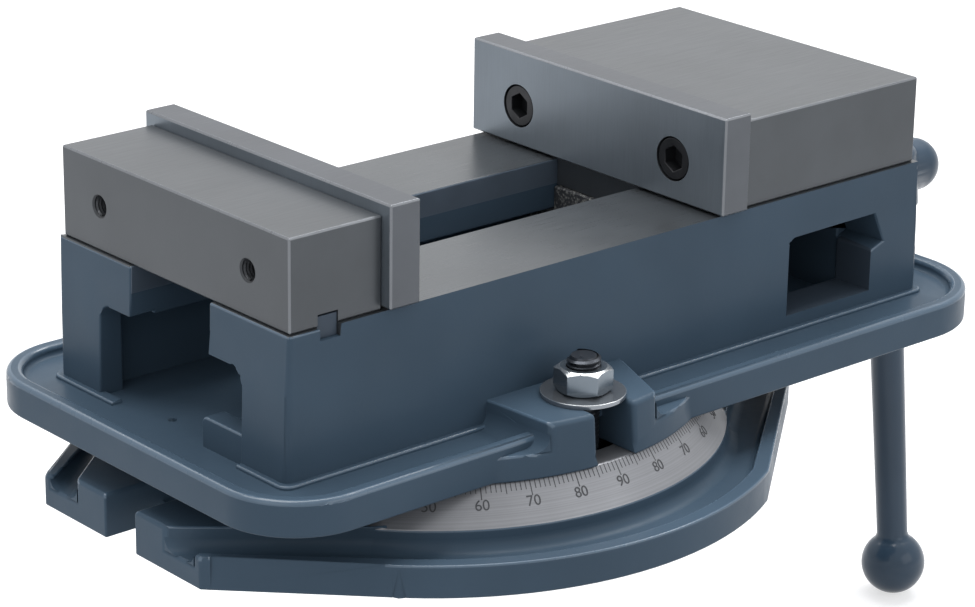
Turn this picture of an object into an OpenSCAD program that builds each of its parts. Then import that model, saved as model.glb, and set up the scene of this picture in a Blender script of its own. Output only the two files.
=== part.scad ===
// Angle-lock machine vise on a graduated swivel base.
// The origin is on the swivel axis, in the plane of the base's underside.
// +X runs along the screw towards the crank, -Y is the side with the near clamp lug, +Z is up.
// All lengths are in millimetres and all angles in degrees.

/* [Jaws] */
// Width of the jaw plates
jaw_w = 160; // [140:1:180]
// Thickness of each jaw plate
plate_t = 15; // [14.5:0.5:20]
// Height that the plates stand above the jaw blocks
plate_rise = 5; // [2:0.5:8]
// Distance that the plates stand out past each side of the jaw blocks
plate_side = 5.2; // [2:0.2:8]
// Height of the jaw blocks above the ways
jaw_h = 38.6; // [36:0.2:50]
// Length of the fixed jaw block
fixed_len = 45; // [42:1:60]
// Length of the movable jaw block
moving_len = 108; // [100:1:130]
// Greatest opening between the jaw plates, as the model stands
opening = 164; // [120:1:200]
// Distance from the swivel axis to the fixed grip face
grip_x = 72; // [60:1:85]
// Distance of the plate screws from the middle of the jaw
plate_screw_y = 49; // [44:1:54]
// Height of the plate screws above the ways
plate_screw_h = 19; // [17:0.5:22]

/* [Bed] */
// Height of the ways above the table
bed_z = 105; // [102:1:125]
// Gap between the two ways
way_gap = 52.4; // [48:0.2:56]
// Thickness of the ways where they overhang the tunnel
way_t = 22.5; // [20:0.5:25]
// Depth of the screw's axis below the ways
screw_drop = 37; // [36:0.5:38]
// Thickness of the side walls beside the tunnel
side_wall = 21; // [18:0.5:24]
// Thickness of the end wall that carries the screw
end_wall = 26; // [20:1:32]
// Thickness of the frame round the tunnel's mouth
portal_t = 10; // [8:1:14]
// Distance that the body stands out past the jaw blocks
body_margin = 1.5; // [0.5:0.1:3]

/* [Tray] */
// Length of the tray past the body at the fixed end
tray_fixed = 26; // [20:1:34]
// Length of the tray past the body at the crank end
tray_crank = 33; // [26:0.5:44]
// Width of the tray past each side of the body
tray_side = 27.8; // [25:0.2:30]
// Thickness of the tray's floor
tray_t = 10.6; // [9:0.2:13]
// Height of the rim above the tray's floor
rim_h = 4.6; // [3:0.2:7]
// Width of the rim
rim_w = 7; // [5:0.5:9]
// Corner radius of the tray at the fixed end
tray_r_fixed = 35; // [20:1:45]
// Corner radius of the tray at the crank end
tray_r_crank = 44; // [20:1:50]

/* [Swivel base] */
// Height of the swivel face above the table
base_h = 33; // [31:0.5:38]
// Height of the graduated band
band_h = 15; // [11:0.5:17]
// Distance that the band slopes outwards from its top to its foot
band_out = 11.5; // [4:0.5:15]
// Height of the sunken deck
deck_z = 9; // [6:0.5:10]
// Width of the deck from the band's foot to the rim
deck_w = 16.2; // [10:0.2:24]
// Height of the outer rim
base_rim_z = 14; // [11.5:0.5:17]
// Width of the outer rim
base_rim_w = 7; // [5:0.5:10]
// Distance that the ears reach past the outer rim
ear_past = 9.5; // [4:0.5:20]
// Width of the fixed end's ear
ear_w = 112; // [100:1:130]
// Width of the crank end's ear
ear_crank_w = 123; // [112:1:130]
// Width of the slots in the ears
ear_slot_w = 20; // [16:0.5:24]
// Depth of the slots in the ears
ear_slot_depth = 36; // [26:1:40]
// Height of the raised pads beside the slots
ear_pad_z = 19; // [16:0.5:22]
// Width of the raised pads beside the slots at the ear's end
ear_pad_w = 20; // [14:0.5:24]

/* [Clamping] */
// Thread diameter of the clamp bolts
clamp_d = 14; // [12:0.5:14.5]
// Outside diameter of the clamp washers
washer_d = 35; // [32:0.5:38]
// Thickness of the clamp washers
washer_t = 2; // [1.5:0.1:4]
// Width across flats of the clamp nuts
nut_af = 21; // [20:0.5:24]
// Height of the clamp nuts
nut_h = 10.5; // [8:0.5:13]
// Length of thread above the clamp nuts
stud_end = 4.5; // [4:0.5:12]
// Width of the slots in the clamp lugs
lug_slot_w = 20; // [17:0.5:22]
// Height of the lugs' upper faces above the swivel face
lug_h = 22; // [18:0.5:30]
// Distance that the lugs reach past the middle of the clamp bolts
lug_land = 21.5; // [19:0.5:26]

/* [Screw and crank] */
// Diameter of the lead screw
screw_d = 24; // [22:0.5:26]
// Diameter of the screw's journal in the end wall
journal_d = 22; // [20:0.5:23]
// Width across flats of the screw's hexagon
hex_af = 16; // [14:0.5:16.5]
// Length of hexagon inside the crank
hex_grip = 27.5; // [22:0.5:32]
// Gap between the tray and the crank's hub
crank_gap = 13; // [6:0.5:20]
// Distance from the screw's axis to the middle of the ball
crank_len = 194.8; // [150:0.2:220]
// Angle of the crank from straight down towards the near side
crank_angle = 6.3; // [0:0.1:30]
// Diameter of the ball
ball_d = 30.6; // [26:0.2:36]
// Diameter of the arm at the hub
arm_d = 17.4; // [15:0.2:20]
// Diameter of the arm at the ball
arm_end_d = 14.6; // [12:0.2:16]

/* [Hidden] */
$fn = 96;

// Cuts run this far past what they cut
over = 1;
// Radial clearance of a turning or sliding fit
run_fit = 0.05;
// Radial clearance of a fixed fit or a thread
fixed_fit = 0.02;
// Clearance beside a part that slides in a slot
slide_gap = 0.3;

// Places along the screw
grip_fixed = -grip_x;
fixed_front = grip_fixed - plate_t;
fixed_back = fixed_front - fixed_len;
grip_moving = grip_fixed + opening;
moving_front = grip_moving + plate_t;
moving_back = moving_front + moving_len;
body_x0 = fixed_back - body_margin;
body_x1 = moving_back + body_margin;
end_wall_x = body_x1 - end_wall;
tray_x0 = body_x0 - tray_fixed;
tray_x1 = body_x1 + tray_crank;

// Widths
block_w = jaw_w - 2 * plate_side;
body_w = block_w + 2 * body_margin;
tray_w = body_w + 2 * tray_side;
cavity_w = body_w - 2 * side_wall;
portal_step = 8;
portal_w = cavity_w - 2 * portal_step;
way_fit_w = way_gap - 2 * slide_gap;

// Heights
tray_z = base_h + tray_t;
rim_z = tray_z + rim_h;
way_z = bed_z - way_t;
screw_z = bed_z - screw_drop;
jaw_z = bed_z + jaw_h;
plate_lift = 1;
plate_z0 = bed_z + plate_lift;
plate_z1 = jaw_z + plate_rise;
lug_z = base_h + lug_h;

// Small shapes of the body casting
body_r = 4;
draft_fixed = 1.8;
draft_crank = 4.2;
plinth_out = 2.5;
plinth_h = 1.6;
plinth_r = 5;
rim_r = 2.4;
portal_r = 7;
way_pad_w = 8.5;
way_pad_t = 1.2;
foot_h = 13;
foot_w = 26;
foot_r = 3;
ledge_in = 12;
ledge_w = 5;
drain_d = 4;
drain_depth = 3;
drain_in = 6;
drain_side = 8;

// Side windows, measured from the crank end of the body, the tray's floor and the ways
window_from = 79.5;
window_to = 27.5;
window_tip = 20;
window_top_to = 26.5;
window_sill = 7.2;
window_top = 19;
window_notch = 35.5;
window_tip_drop = 32.8;
window_r = 4;

// Screws that hold the plates, with heads sunk in the plates
plate_screw_d = 12;
plate_head_d = 18;
plate_head_h = 12;
plate_web = 2.5;
plate_sink_d = 19.4;
plate_shank = 30;
plate_hole_d = 13;
socket_af = 10;
socket_depth = 6;
tap_d = 8.5;
tap_chamfer = 0.7;
plate_tap = plate_shank + over;
edge = 0.8;

// Key between fixed jaw and body
key_w = 9.6;
key_in = 13.7;
key_x = fixed_back + key_w / 2 + key_in;
key_up = 4.2;
key_down = 4.9;
key_gap = 0.1;
key_roof_gap = 1;
key_sunk = 0.7;

// Screws that hold the fixed jaw from below, with heads sunk in the ways
jaw_bolt_d = 10;
jaw_bolt_head_d = 16;
jaw_bolt_head_h = 10;
jaw_bolt_sink = 0.5;
jaw_bolt_sink_d = 17;
jaw_bolt_in = 13;
jaw_bolt_hole_d = 11;
jaw_bolt_af = 8;
jaw_bolt_socket = 5;
jaw_bolt_x = (key_x + key_w / 2 + fixed_front) / 2;
jaw_bolt_y = (way_gap + portal_w) / 4;

// Angle lock: the half ball's middle is measured from the movable grip face and the ways
seg_r = 14;
seg_in = 33;
seg_up = 6;
seg_x = grip_moving + plate_t + seg_in;
seg_z = bed_z + seg_up;
seg_proud = 1.5;
tongue_t = 12;
tongue_inset = 3;
nut_inset = 1;
hook_tip = 12;
hook_up = 20;
hook_back = 26;
hook_w = 34;
hook_gap = 1;
nut_top = bed_z - tongue_t - slide_gap;
nut_w = 50;
nut_wing_gap = 5;
nut_wing_w = portal_w - 2 * nut_wing_gap;
nut_wing_t = 9;
nut_below = 20;
nut_x0 = grip_moving + nut_inset;
nut_x1 = seg_x + hook_back + nut_inset;
set_d = 10;
set_len = 20;
set_af = 5;
set_up = 8;
set_z = seg_z + set_up;

// Lead screw and its bearing
race_t = 1.5;
needle_d = 3.2;
cage_t = 2.4;
race_out_d = 38;
race_gap = 0.3;
race_in_d = journal_d + 2 * race_gap;
needle_len = 5;
needle_count = 16;
needle_gap = 0.1;
needle_r = (race_out_d + race_in_d) / 4;
shoulder_d = 38;
shoulder_t = 6;
race_body_x = end_wall_x - race_t;
needle_x = race_body_x - needle_d / 2;
race_screw_x = race_body_x - needle_d - race_t;
shoulder_x = race_screw_x - shoulder_t;
screw_past = 4;
screw_x0 = nut_x0 - opening - screw_past;
thread_end = shoulder_x;
end_boss_d = 44;
end_boss_t = 3;
end_boss_x = body_x1 + end_boss_t;
bush_wall = 4;
bush_d = journal_d + 2 * bush_wall;
collar_gap = 0.3;
collar_seat = 0.6;
collar_x = end_boss_x + collar_gap;
collar_d = 40;
collar_t = 12;
collar_set_d = 6;
collar_set_af = 3;
collar_chamfer = 1;
journal_past = 2;
journal_x1 = collar_x + collar_t + journal_past;
screw_chamfer = 2;

// Crank
hub_x0 = tray_x1 + crank_gap;
hex_x1 = hub_x0 + hex_grip;
hub_d = 25.2;
hub_len = 37.3;
arm_in = 16.5;
arm_x = hub_x0 + arm_in;
boss_d = 33;
boss_down = 15.5;
boss_up = 12.5;
boss_r = 4;
hex_gap = 0.15;
socket_end = 0.8;
neck_d = 17;
neck_t = 3;
neck_in = 0.3;

// Clamping of the swivel
washer_gap = 2.2;
bolt_circle = body_w / 2 + washer_gap + washer_d / 2;
lug_r = bolt_circle + lug_land;
washer_play = 1;
washer_hole_d = clamp_d + washer_play;
lug_left = 34;
lug_left_front = 31;
lug_right = 39.5;
lug_right_front = 23;
// The disc and the lugs lean in by this much up to the lugs' upper faces
lug_draft = 2;
nut_turned = -15;
nut_chamfer = 2.6;
nut_chamfer_h = 1.5;
stud_chamfer = 1.5;

// Swivel base
band_inset = 2;
band_top_r = lug_r - band_inset;
band_foot_r = band_top_r + band_out;
band_foot_z = base_h - band_h;
rim_in_r = band_foot_r + deck_w;
base_r = rim_in_r + base_rim_w;
ear_x = base_r + ear_past;
ear_cut = 3;
ear_low_angle = 31;
ear_crank_angle = 61;
pad_under = 2;
pad_in_r = band_foot_r - pad_under;
tee_neck_play = 1;
tee_neck_w = clamp_d + tee_neck_play;
tee_w = 27;
tee_roof = 9;
tee_depth = 12;
tee_entry_d = 29;
tee_entry_angle = 45;
head_d = 25;
head_t = 9;
pivot_d = 40;
pivot_up = 7;
pivot_down = 27;
pivot_gap = 1;
pivot_chamfer = 1;
hub_ring_wall = 14;
hub_ring_r = pivot_d / 2 + hub_ring_wall;
pocket_gap = 6;
pocket_r = bolt_circle - tee_w / 2 - pocket_gap;
pocket_roof = 12;
pocket_z = base_h - pocket_roof;

// Rectangle from x0 to x1, w wide, with corners of radius r
module round_plate(x0, x1, w, r) {
    translate([x0 + r, -w / 2])
        square([x1 - x0 - 2 * r, w]);
    translate([x0, r - w / 2])
        square([x1 - x0, w - 2 * r]);
    for (x = [x0 + r, x1 - r])
        for (s = [-1, 1])
            translate([x, s * (w / 2 - r)])
                circle(r);
}

// Upright section, w wide and h high, with both upper corners rounded
module round_top(w, h, r) {
    square([w, h - r]);
    translate([r, 0])
        square([w - 2 * r, h]);
    for (x = [r, w - r])
        translate([x, h - r])
            circle(r);
}

// Rectangle with its corners cut off at 45 degrees
module cut_plate(x0, x1, y0, y1, c) {
    polygon([[x0 + c, y0], [x1 - c, y0], [x1, y0 + c], [x1, y1 - c], [x1 - c, y1], [x0 + c, y1],
        [x0, y1 - c], [x0, y0 + c]]);
}

// Block with every edge broken by a chamfer
module cut_block(x0, x1, w, z0, z1, c) {
    intersection() {
        translate([0, 0, z0])
            linear_extrude(z1 - z0)
                cut_plate(x0, x1, -w / 2, w / 2, c);
        translate([0, w / 2, 0])
            rotate([90, 0, 0])
                linear_extrude(w)
                    cut_plate(x0, x1, z0, z1, c);
        translate([x0, 0, 0])
            rotate([90, 0, 90])
                linear_extrude(x1 - x0)
                    cut_plate(-w / 2, w / 2, z0, z1, c);
    }
}

// Cylinder along X from x0 to x1 at height z
module rod_x(x0, x1, d, z, y = 0) {
    translate([x0, y, z])
        rotate([0, 90, 0])
            cylinder(d = d, h = x1 - x0);
}

// Hexagonal bar along X, with flats af apart
module hex_x(x0, x1, af, z, y = 0) {
    translate([x0, y, z])
        rotate([0, 90, 0])
            cylinder(d = af / cos(30), h = x1 - x0, $fn = 6);
}

// Socket cap screw along X with its head's face at x = 0 and its shank towards +X
module cap_screw(d, head_d, head_h, shank, af, depth) {
    difference() {
        union() {
            rod_x(0, head_h, head_d, 0);
            rod_x(head_h, head_h + shank, d, 0);
        }
        hex_x(-over, depth, af, 0);
    }
}

// Point where the tangent from [x, y] meets a circle of radius r round the axis
function tangent_point(r, x, y) =
    let (reach = sqrt(x * x + y * y), turn = atan2(y, x) + acos(r / reach))
    [r * cos(turn), r * sin(turn)];

// Outline of one ear. Its upper side is a tangent of the rim, and its lower side starts from
// the rim at the given angle.
module ear_outline(inset, w, low) {
    r = base_r - inset;
    half = w / 2 - inset;
    p = tangent_point(r, ear_x, half);
    polygon([[0, 0], [r * cos(low), -r * sin(low)], [ear_x - ear_cut, -half],
        [ear_x, ear_cut - half], [ear_x, half - ear_cut], [ear_x - ear_cut, half], p]);
}

// Outline of the base, drawn in by the given distance
module base_outline(inset) {
    r = base_r - inset;
    half = ear_crank_w / 2 - inset;
    q = [r * cos(ear_crank_angle), -r * sin(ear_crank_angle)];
    c = [ear_x - ear_cut, -half];
    out = [q[1] - c[1], c[0] - q[0]] / norm(c - q) * -base_rim_w;
    difference() {
        union() {
            circle(r);
            ear_outline(inset, ear_crank_w, ear_crank_angle);
            rotate(180)
                ear_outline(inset, ear_w, ear_low_angle);
        }
        // The crank end's ear has one straight side, cut off the round rim
        polygon([q, c, c + out, q + out]);
    }
}

// Hub of the base with the graduated band
module base_hub() {
    rotate_extrude()
        polygon([[0, 0], [band_foot_r, 0], [band_foot_r, band_foot_z], [band_top_r, base_h],
            [0, base_h]]);
}

// Deck, and the rim that stands round it and is open at the ears' ends
module base_deck() {
    linear_extrude(deck_z)
        base_outline(0);
    difference() {
        linear_extrude(base_rim_z)
            base_outline(0);
        translate([0, 0, -over])
            linear_extrude(base_rim_z + 2 * over)
                union() {
                    base_outline(base_rim_w);
                    ear_mouth(ear_crank_w);
                    rotate(180)
                        ear_mouth(ear_w);
                }
    }
}

// Opening of the rim at the end of an ear
module ear_mouth(w) {
    translate([ear_x - ear_cut - base_rim_w, base_rim_w - w / 2])
        square([ear_cut + base_rim_w + over, w - 2 * base_rim_w]);
}

// Pads beside an ear's slot, which run on into the band's foot
module ear_pads() {
    half = ear_slot_w / 2 + ear_pad_w;
    p = tangent_point(pad_in_r, ear_x, half);
    linear_extrude(ear_pad_z)
        polygon([[0, 0], [p[0], -p[1]], [ear_x, -half], [ear_x, half], p]);
}

module ear_slot() {
    slot_end = ear_x - ear_slot_depth + ear_slot_w / 2;
    translate([slot_end, 0, -over])
        cylinder(d = ear_slot_w, h = base_h);
    translate([slot_end, -ear_slot_w / 2, -over])
        cube([ear_slot_depth, ear_slot_w, base_h]);
}

module swivel_base() {
    tee_z = base_h - tee_roof;
    color([0.25, 0.31, 0.37])
        difference() {
            union() {
                base_hub();
                base_deck();
                for (s = [0, 180])
                    rotate([0, 0, s])
                        ear_pads();
            }
            for (s = [0, 180])
                rotate([0, 0, s])
                    ear_slot();
            // Bore for the pivot pin
            translate([0, 0, base_h - pivot_down - pivot_gap])
                cylinder(d = pivot_d + 2 * run_fit, h = pivot_down + pivot_gap + over);
            // Circular tee slot for the clamp bolts
            rotate_extrude()
                translate([bolt_circle, 0])
                    union() {
                        translate([-tee_neck_w / 2, tee_z - over])
                            square([tee_neck_w, tee_roof + 2 * over]);
                        translate([-tee_w / 2, tee_z - tee_depth])
                            square([tee_w, tee_depth]);
                    }
            // Entry where the bolt heads go in
            rotate([0, 0, tee_entry_angle])
                translate([bolt_circle, 0, tee_z - tee_depth])
                    cylinder(d = tee_entry_d, h = tee_depth + tee_roof + over);
            // Hollow below, between the hub and the tee slot
            rotate_extrude()
                translate([hub_ring_r, -over])
                    square([pocket_r - hub_ring_r, pocket_z + over]);
        }
}

// Rim section of the tray, with its outer face at x = 0 and the tray inwards at -x
module rim_section() {
    translate([-rim_w, 0])
        round_top(rim_w, rim_z - base_h, rim_r);
}

module tray_rim() {
    x0 = tray_x0 + tray_r_fixed;
    x1 = tray_x1 - tray_r_crank;
    y0 = tray_w / 2 - tray_r_fixed;
    y1 = tray_w / 2 - tray_r_crank;
    for (s = [0, 1])
        mirror([0, s, 0]) {
            translate([x0, tray_w / 2, 0])
                rotate([90, 0, 90])
                    linear_extrude(x1 - x0)
                        rim_section();
            translate([x1, y1, 0])
                rotate_extrude(angle = 90)
                    translate([tray_r_crank, 0])
                        rim_section();
            translate([x0, y0, 0])
                rotate([0, 0, 90])
                    rotate_extrude(angle = 90)
                        translate([tray_r_fixed, 0])
                            rim_section();
        }
    translate([tray_x1, y1, 0])
        rotate([90, 0, 0])
            linear_extrude(2 * y1)
                rim_section();
    translate([tray_x0, -y0, 0])
        rotate([90, 0, 180])
            linear_extrude(2 * y0)
                rim_section();
}

module tray_floor() {
    x0 = tray_x0 + tray_r_fixed;
    x1 = tray_x1 - tray_r_crank;
    inset = rim_w / 2;
    linear_extrude(tray_t)
        union() {
            translate([x0, inset - tray_w / 2])
                square([x1 - x0, tray_w - 2 * inset]);
            translate([tray_x0 + inset, tray_r_fixed - tray_w / 2])
                square([x0 - tray_x0, tray_w - 2 * tray_r_fixed]);
            translate([x1 - over, tray_r_crank - tray_w / 2])
                square([tray_x1 - x1 + over - inset, tray_w - 2 * tray_r_crank]);
            for (s = [-1, 1]) {
                translate([x0, s * (tray_w / 2 - tray_r_fixed)])
                    circle(tray_r_fixed - inset);
                translate([x1, s * (tray_w / 2 - tray_r_crank)])
                    circle(tray_r_crank - inset);
            }
        }
}

// Swivel disc and both clamp lugs, whose outer faces lean in as one cone
module swivel_disc() {
    intersection() {
        union() {
            cylinder(r = lug_r + over, h = tray_t);
            for (s = [0, 1])
                mirror([0, s, 0])
                    linear_extrude(lug_h)
                        polygon([[-lug_left, -body_w / 2 + over], [-lug_left, -body_w / 2],
                            [-lug_left_front, -lug_r], [lug_right_front, -lug_r],
                            [lug_right, -body_w / 2], [lug_right, -body_w / 2 + over]]);
        }
        cylinder(r1 = lug_r, r2 = lug_r - lug_draft, h = lug_h);
    }
}

module lug_slot() {
    translate([0, -bolt_circle, base_h - over])
        cylinder(d = lug_slot_w, h = lug_h + 2 * over);
    translate([-lug_slot_w / 2, -bolt_circle - lug_land - over, base_h - over])
        cube([lug_slot_w, lug_land + over, lug_h + 2 * over]);
}

// Section of the tunnel's mouth, in y and z
module portal_section() {
    step_w = way_gap + 2 * way_pad_w;
    translate([-step_w / 2, tray_z])
        square([step_w, way_z - tray_z]);
    translate([-portal_w / 2, tray_z])
        round_top(portal_w, way_z + way_pad_t - tray_z, portal_r);
}

module tunnel() {
    // Slot between the ways
    translate([body_x0 - over, -way_gap / 2, way_z - over])
        cube([end_wall_x - body_x0 + over, way_gap, way_t + 2 * over]);
    // Wide space below the ways
    translate([body_x0 + portal_t, 0, 0])
        rotate([90, 0, 90])
            linear_extrude(end_wall_x - body_x0 - portal_t)
                translate([-cavity_w / 2, tray_z])
                    square([cavity_w, way_z - tray_z]);
    // Mouth
    translate([body_x0 - draft_fixed - plinth_out - over, 0, 0])
        rotate([90, 0, 90])
            linear_extrude(portal_t + draft_fixed + plinth_out + 2 * over)
                portal_section();
}

// Foot inside the tunnel's mouth, at the near wall
module portal_foot() {
    x0 = body_x0 - draft_fixed / 2;
    translate([x0, -portal_w / 2 - over, tray_z])
        cube([portal_t, foot_w - foot_r + over, foot_h]);
    translate([x0, -portal_w / 2 - over, tray_z])
        cube([portal_t, foot_w + over, foot_h - foot_r]);
    rod_x(x0, x0 + portal_t, 2 * foot_r, tray_z + foot_h - foot_r,
        foot_w - foot_r - portal_w / 2);
}

// Room of the plinth's ledge, which runs on past the far wall into the tunnel's mouth
module ledge_room() {
    translate([body_x0 - draft_fixed - plinth_out, portal_w / 2 - ledge_in, tray_z])
        cube([ledge_w, ledge_in, plinth_h]);
}

module window(side) {
    x0 = body_x1 - window_from;
    x1 = body_x1 - window_to;
    z0 = tray_z + window_sill;
    z1 = bed_z - window_top;
    notch = bed_z - window_notch;
    translate([0, side * (body_w / 2 - side_wall / 2) + (side_wall / 2 + over), 0])
        rotate([90, 0, 0])
            linear_extrude(side_wall + 2 * over)
                union() {
                    polygon([[x0, z0], [x1, z0], [x1, notch],
                        [body_x1 - window_tip, bed_z - window_tip_drop],
                        [body_x1 - window_top_to, z1], [x0 + window_r, z1], [x0, z1 - window_r]]);
                    translate([x0 + window_r, z1 - window_r])
                        circle(window_r);
                }
}

// Block of the body above the tray, with end faces that lean out towards the tray
module body_block() {
    x0 = body_x0 - draft_fixed;
    x1 = body_x1 + draft_crank;
    intersection() {
        translate([0, body_w / 2, 0])
            rotate([90, 0, 0])
                linear_extrude(body_w)
                    polygon([[x0, tray_z], [x1, tray_z], [body_x1, bed_z], [body_x0, bed_z]]);
        translate([0, 0, tray_z])
            linear_extrude(bed_z - tray_z)
                round_plate(x0, x1, body_w, body_r);
    }
}

// Upper part of the body casting: walls, ways and end wall
module vise_body() {
    color([0.25, 0.31, 0.37])
        difference() {
            union() {
                difference() {
                    body_block();
                    tunnel();
                }
                portal_foot();
                rod_x(body_x1 - over, end_boss_x, end_boss_d, screw_z);
            }
            for (s = [-1, 1])
                window(s);
            // Keyway across the ways
            translate([key_x - key_w / 2 - key_gap, -body_w / 2 - over, bed_z - key_down - key_gap])
                cube([key_w + 2 * key_gap, body_w + 2 * over, key_down + over]);
            // Holes of the fixed jaw's screws
            for (s = [-1, 1])
                translate([jaw_bolt_x, s * jaw_bolt_y, way_z - over]) {
                    cylinder(d = jaw_bolt_hole_d, h = way_t + 2 * over);
                    cylinder(d = jaw_bolt_sink_d, h = jaw_bolt_head_h + jaw_bolt_sink + over);
                }
            // Room for the collar in the wall's slope
            rod_x(end_boss_x, end_boss_x + collar_t, collar_d + 2 * collar_seat, screw_z);
            // Seat of the bush
            rod_x(end_wall_x - over, end_boss_x + over, bush_d + 2 * fixed_fit, screw_z);
        }
}

// Lower part of the body casting: tray with rim, plinth, clamp lugs and swivel face
module vise_tray() {
    color([0.25, 0.31, 0.37])
        difference() {
            union() {
                translate([0, 0, base_h])
                    tray_floor();
                translate([0, 0, base_h])
                    tray_rim();
                translate([0, 0, base_h])
                    swivel_disc();
                translate([0, 0, base_h])
                    linear_extrude(tray_t + plinth_h)
                        round_plate(body_x0 - draft_fixed - plinth_out,
                            body_x1 + draft_crank + plinth_out, body_w + 2 * plinth_out, plinth_r);
            }
            difference() {
                union() {
                    body_block();
                    tunnel();
                }
                ledge_room();
            }
            for (s = [0, 1])
                mirror([0, s, 0])
                    lug_slot();
            // Drain in the tray
            translate([body_x0 + drain_in, drain_side, tray_z - drain_depth])
                cylinder(d = drain_d, h = drain_depth + over);
            // Socket of the pivot pin
            translate([0, 0, base_h - over])
                cylinder(d = pivot_d + 2 * fixed_fit, h = pivot_up + over);
        }
}

module pivot_pin() {
    color([0.62, 0.63, 0.65])
        translate([0, 0, base_h - pivot_down])
            rotate_extrude()
                polygon([[0, 0], [pivot_d / 2 - pivot_chamfer, 0], [pivot_d / 2, pivot_chamfer],
                    [pivot_d / 2, pivot_down + pivot_up - pivot_chamfer],
                    [pivot_d / 2 - pivot_chamfer, pivot_down + pivot_up],
                    [0, pivot_down + pivot_up]]);
}

// Clamp stack on the lug at the -Y side
stud_z = lug_z + washer_t + nut_h + stud_end;

module clamp_bolt() {
    head_z = base_h - tee_roof - head_t;
    translate([0, -bolt_circle, head_z]) {
        cylinder(d = head_d, h = head_t);
        cylinder(d = clamp_d, h = stud_z - stud_chamfer - head_z);
        translate([0, 0, stud_z - stud_chamfer - head_z])
            cylinder(d1 = clamp_d, d2 = clamp_d - 2 * stud_chamfer, h = stud_chamfer);
    }
}

module clamp_bolts() {
    color([0.12, 0.12, 0.13])
        for (s = [0, 1])
            mirror([0, s, 0])
                clamp_bolt();
}

module clamp_washer(side) {
    color([0.75, 0.76, 0.77])
        translate([0, side * bolt_circle, lug_z])
            difference() {
                cylinder(d = washer_d, h = washer_t);
                translate([0, 0, -over])
                    cylinder(d = washer_hole_d, h = washer_t + 2 * over);
            }
}

module washer_near() {
    clamp_washer(-1);
}

module washer_far() {
    clamp_washer(1);
}

// Hexagon with both ends turned to a chamfer
module clamp_nut(side) {
    corner_d = nut_af / cos(30);
    color([0.78, 0.79, 0.80])
        translate([0, side * bolt_circle, lug_z + washer_t])
            difference() {
                rotate([0, 0, nut_turned])
                    intersection() {
                        rotate([0, 0, 30])
                            cylinder(d = corner_d, h = nut_h, $fn = 6);
                        rotate_extrude()
                            polygon([[0, 0], [corner_d / 2 - nut_chamfer, 0],
                                [corner_d / 2, nut_chamfer_h],
                                [corner_d / 2, nut_h - nut_chamfer_h],
                                [corner_d / 2 - nut_chamfer, nut_h], [0, nut_h]]);
                    }
                translate([0, 0, -over])
                    cylinder(d = clamp_d + 2 * run_fit, h = nut_h + 2 * over);
            }
}

module nut_near() {
    clamp_nut(-1);
}

module nut_far() {
    clamp_nut(1);
}

module fixed_jaw() {
    color([0.45, 0.47, 0.49])
        difference() {
            cut_block(fixed_back, fixed_front, block_w, bed_z, jaw_z, edge);
            // Keyway
            translate([key_x - key_w / 2 - key_gap, -block_w / 2 - over, bed_z - over])
                cube([key_w + 2 * key_gap, block_w + 2 * over, key_up + key_roof_gap + over]);
            for (s = [-1, 1]) {
                y = s * plate_screw_y;
                z = bed_z + plate_screw_h;
                // Thread of the plate screw, and the free thread behind it
                rod_x(fixed_front - plate_tap, fixed_front + over, plate_screw_d + 2 * fixed_fit,
                    z, y);
                rod_x(fixed_back - over, fixed_front, tap_d, z, y);
                translate([fixed_back - over, y, z])
                    rotate([0, 90, 0])
                        cylinder(d1 = tap_d + 2 * (tap_chamfer + over), d2 = tap_d,
                            h = tap_chamfer + over);
            }
            for (s = [-1, 1])
                translate([jaw_bolt_x, s * jaw_bolt_y, bed_z - over])
                    cylinder(d = jaw_bolt_d + 2 * fixed_fit, h = jaw_bolt_in + 2 * over);
        }
}

module jaw_key() {
    color([0.40, 0.42, 0.44])
        translate([key_x - key_w / 2, key_sunk - block_w / 2, bed_z - key_down])
            cube([key_w, block_w - 2 * key_sunk, key_down + key_up]);
}

module fixed_jaw_bolts() {
    color([0.15, 0.15, 0.16])
        for (s = [-1, 1])
            translate([jaw_bolt_x, s * jaw_bolt_y, way_z + jaw_bolt_sink])
                rotate([0, -90, 0])
                    cap_screw(jaw_bolt_d, jaw_bolt_head_d, jaw_bolt_head_h,
                        way_t - jaw_bolt_sink - jaw_bolt_head_h + jaw_bolt_in, jaw_bolt_af,
                        jaw_bolt_socket);
}

// Jaw plate with its grip face at x = 0 and its back at x = plate_t
module jaw_plate() {
    color([0.52, 0.54, 0.56])
        difference() {
            cut_block(0, plate_t, jaw_w, plate_z0, plate_z1, edge);
            for (s = [-1, 1]) {
                y = s * plate_screw_y;
                z = bed_z + plate_screw_h;
                rod_x(-over, plate_t - plate_web, plate_sink_d, z, y);
                rod_x(-over, plate_t + over, plate_hole_d, z, y);
            }
        }
}

module plate_screws() {
    color([0.10, 0.10, 0.11])
        for (s = [-1, 1])
            translate([plate_t - plate_web - plate_head_h, s * plate_screw_y, bed_z + plate_screw_h])
                cap_screw(plate_screw_d, plate_head_d, plate_head_h, plate_shank, socket_af,
                    socket_depth);
}

module fixed_plate() {
    translate([grip_fixed, 0, 0])
        mirror([1, 0, 0])
            jaw_plate();
}

module fixed_plate_screws() {
    translate([grip_fixed, 0, 0])
        mirror([1, 0, 0])
            plate_screws();
}

module movable_plate() {
    translate([grip_moving, 0, 0])
        jaw_plate();
}

module movable_plate_screws() {
    translate([grip_moving, 0, 0])
        plate_screws();
}

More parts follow.
